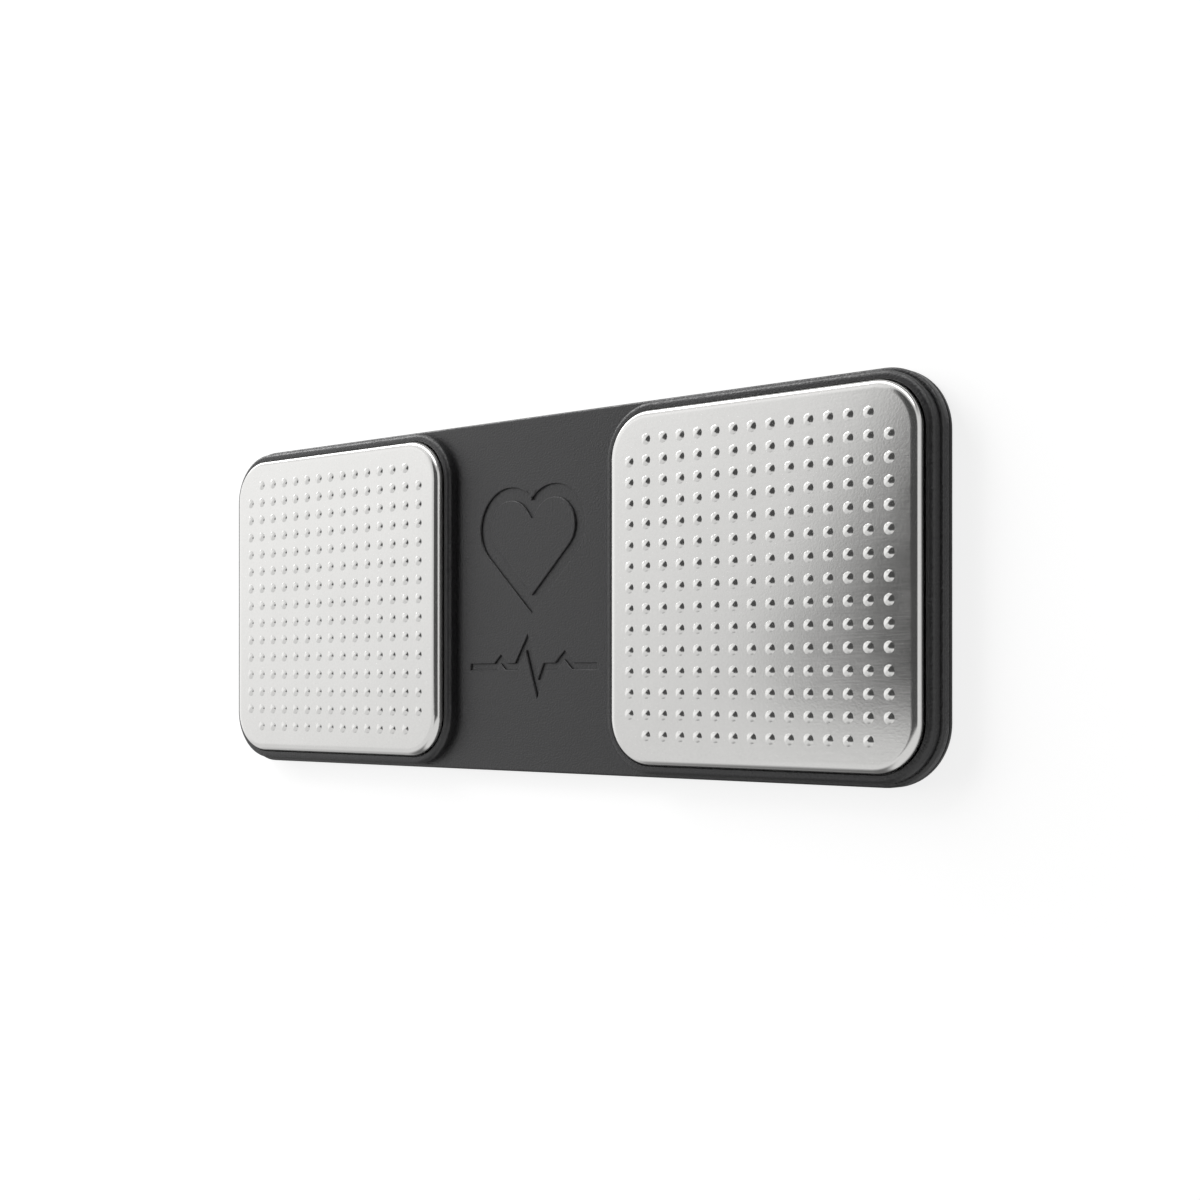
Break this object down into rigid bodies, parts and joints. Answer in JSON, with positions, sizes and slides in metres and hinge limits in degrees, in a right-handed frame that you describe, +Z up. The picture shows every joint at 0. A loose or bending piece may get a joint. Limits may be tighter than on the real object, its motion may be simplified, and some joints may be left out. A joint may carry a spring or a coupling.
{
  "type": "home ecg recorder",
  "caption": "Thin charcoal hand-held ECG recorder with two raised square plateaus that carry dimpled steel finger electrodes, and a round coin-cell door in its back.",
  "frame": {"origin": "the middle of the back face, on the surface that the recorder lies on", "axes": "+X along the case, away from the battery door, +Y across it, +Z up from the back to the electrodes"},
  "size_m": [0.082, 0.032, 0.0037],
  "materials": {
    "case": "fine-grained charcoal moulding",
    "electrode_steel": "satin stainless sheet",
    "adhesive": "milky acrylic film",
    "seal_rubber": "matt silicone rubber",
    "spring_gold": "gold-plated spring strip",
    "board_green": "solder-masked glass laminate",
    "chip_black": "moulded epoxy",
    "chip_tan": "fired ceramic body",
    "crystal_can": "plain metal can",
    "brass": "rolled brass disc",
    "piezo_white": "silvered ceramic",
    "cell_steel": "nickel-plated steel",
    "cell_nylon": "dark nylon"
  },
  "bodies": {
    "housing": {"front_housing": "case", "rear_housing": "case", "electrode_left": "electrode_steel", "electrode_right": "electrode_steel", "electrode_adhesive_left": "adhesive", "electrode_adhesive_right": "adhesive", "bond_gasket": "adhesive", "door_seal": "seal_rubber", "electrode_spring_left": "spring_gold", "electrode_spring_right": "spring_gold", "piezo_spring_inner": "spring_gold", "piezo_spring_outer": "spring_gold", "negative_contact": "spring_gold", "positive_contact": "spring_gold", "circuit_board": "board_green", "amplifier_chip": "chip_black", "microcontroller_chip": "chip_black", "chip_resistors": "chip_black", "chip_capacitors": "chip_tan", "timing_crystal": "crystal_can", "piezo_disc": "brass", "piezo_ceramic": "piezo_white"},
    "battery_door": {"battery_door": "case"},
    "coin_cell": {"cell_can": "cell_steel", "cell_gasket": "cell_nylon", "cell_cap": "cell_steel"}
  },
  "joints": [
    {"name": "battery_door_lift", "type": "slide", "parent": "housing", "child": "battery_door", "axis": [0, 0, -1], "range_m": [0, 0.014]},
    {"name": "coin_cell_lift", "type": "slide", "parent": "housing", "child": "coin_cell", "axis": [0, 0, -1], "range_m": [0, 0.007]}
  ],
  "couplings": [
    {"joint": "coin_cell_lift", "follows": "battery_door_lift", "ratio": 0.5}
  ]
}
